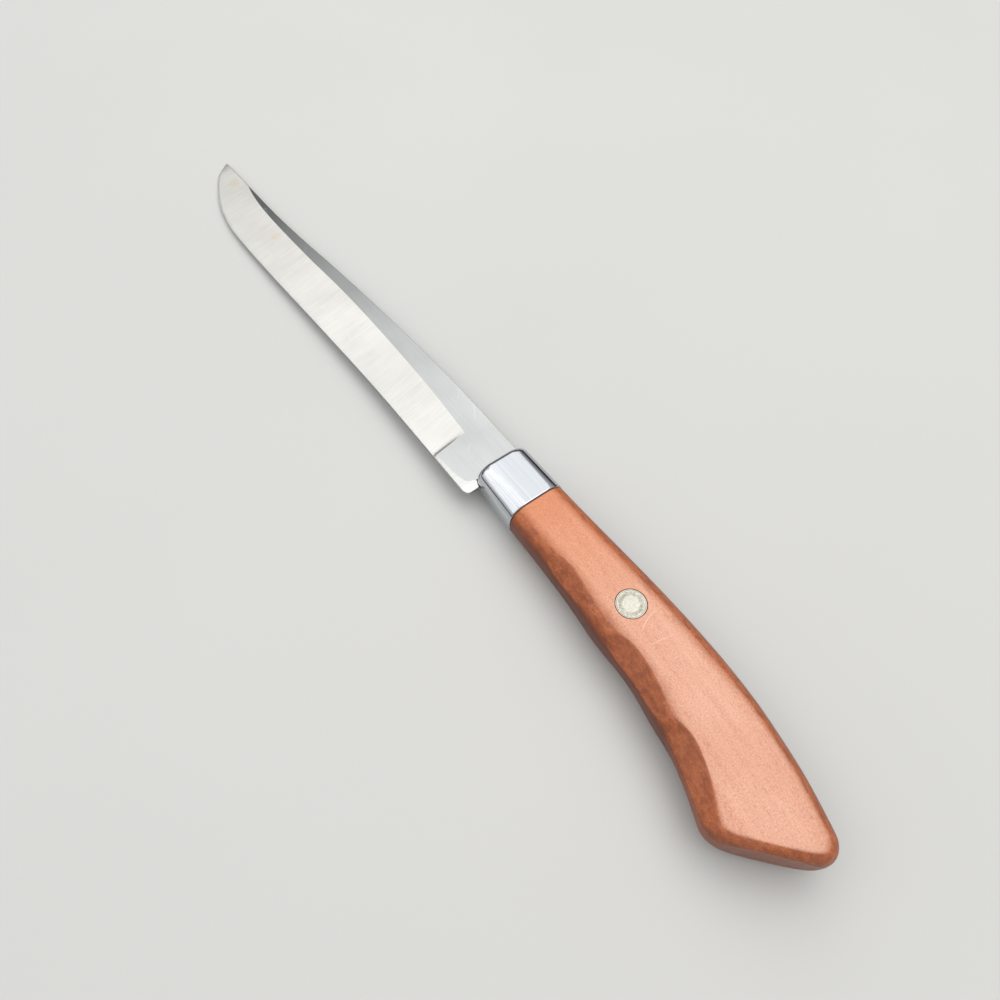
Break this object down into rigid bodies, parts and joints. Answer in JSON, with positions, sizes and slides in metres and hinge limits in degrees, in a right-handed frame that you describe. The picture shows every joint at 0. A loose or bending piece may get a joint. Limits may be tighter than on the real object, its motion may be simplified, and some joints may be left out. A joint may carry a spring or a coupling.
{
  "type": "carving knife",
  "caption": "Slender hollow-ground carving knife with a bright metal ferrule and a curved wooden pistol grip with finger grooves.",
  "frame": {"origin": "centre of the bounding box's underside; the knife lies on the flat of its handle", "axes": "+X from the blade's tip to the butt, +Y from the cutting edge to the spine, +Z out of the side with the medallion"},
  "size_m": [0.3462, 0.0358, 0.016],
  "materials": {
    "blade_steel": "cross-ground satin on the hollow sides, polished flat along the spine",
    "ferrule_metal": "mirror plated",
    "handle_wood": "satin lacquer, fine straight grain",
    "medallion_metal": "soft polish",
    "pin_metal": "plain drawn",
    "cement": "dull resin"
  },
  "bodies": {
    "root": {"blade": "blade_steel", "ferrule": "ferrule_metal", "handle": "handle_wood", "medallion": "medallion_metal", "tang_pin": "pin_metal", "tang_cement": "cement"}
  },
  "joints": []
}
